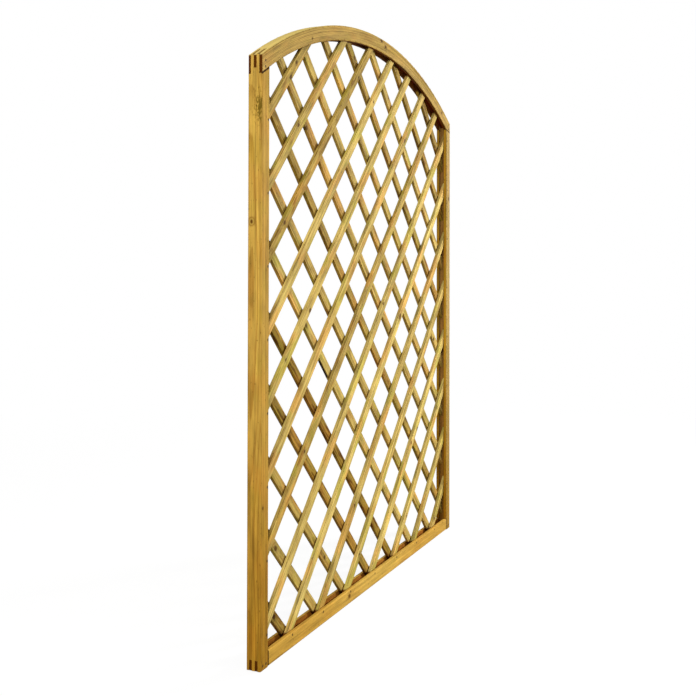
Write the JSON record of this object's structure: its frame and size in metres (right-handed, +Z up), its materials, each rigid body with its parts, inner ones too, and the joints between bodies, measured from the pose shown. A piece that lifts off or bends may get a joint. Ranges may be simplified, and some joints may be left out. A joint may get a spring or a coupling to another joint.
{
  "type": "arched trellis panel",
  "caption": "Garden trellis panel: grooved square-section timber frame with an arched top rail, filled with a diagonal lattice of thin slats in two layers.",
  "frame": {"origin": "On the ground under the middle of the panel, halfway through its thickness.", "axes": "+X runs along the panel to the right as seen from the front, +Y runs from the front to the back, and +Z is up."},
  "size_m": [1.5, 0.042, 1.7999],
  "materials": {
    "treated_pine": "planed, pressure treated, unpainted",
    "brad_steel": "dull wire"
  },
  "bodies": {
    "root": {"arched_top_rail": "treated_pine", "bottom_corner_pins": "brad_steel", "bottom_rail": "treated_pine", "bottom_rail_brads": "brad_steel", "crossing_brads": "brad_steel", "front_slat_01": "treated_pine", "front_slat_02": "treated_pine", "front_slat_03": "treated_pine", "front_slat_04": "treated_pine", "front_slat_05": "treated_pine", "front_slat_06": "treated_pine", "front_slat_07": "treated_pine", "front_slat_08": "treated_pine", "front_slat_09": "treated_pine", "front_slat_10": "treated_pine", "front_slat_11": "treated_pine", "front_slat_12": "treated_pine", "front_slat_13": "treated_pine", "front_slat_14": "treated_pine", "front_slat_15": "treated_pine", "left_stile": "treated_pine", "left_stile_brads": "brad_steel", "rear_slat_01": "treated_pine", "rear_slat_02": "treated_pine", "rear_slat_03": "treated_pine", "rear_slat_04": "treated_pine", "rear_slat_05": "treated_pine", "rear_slat_06": "treated_pine", "rear_slat_07": "treated_pine", "rear_slat_08": "treated_pine", "rear_slat_09": "treated_pine", "rear_slat_10": "treated_pine", "rear_slat_11": "treated_pine", "rear_slat_12": "treated_pine", "rear_slat_13": "treated_pine", "rear_slat_14": "treated_pine", "rear_slat_15": "treated_pine", "right_stile": "treated_pine", "right_stile_brads": "brad_steel", "top_corner_pins": "brad_steel"}
  },
  "joints": []
}
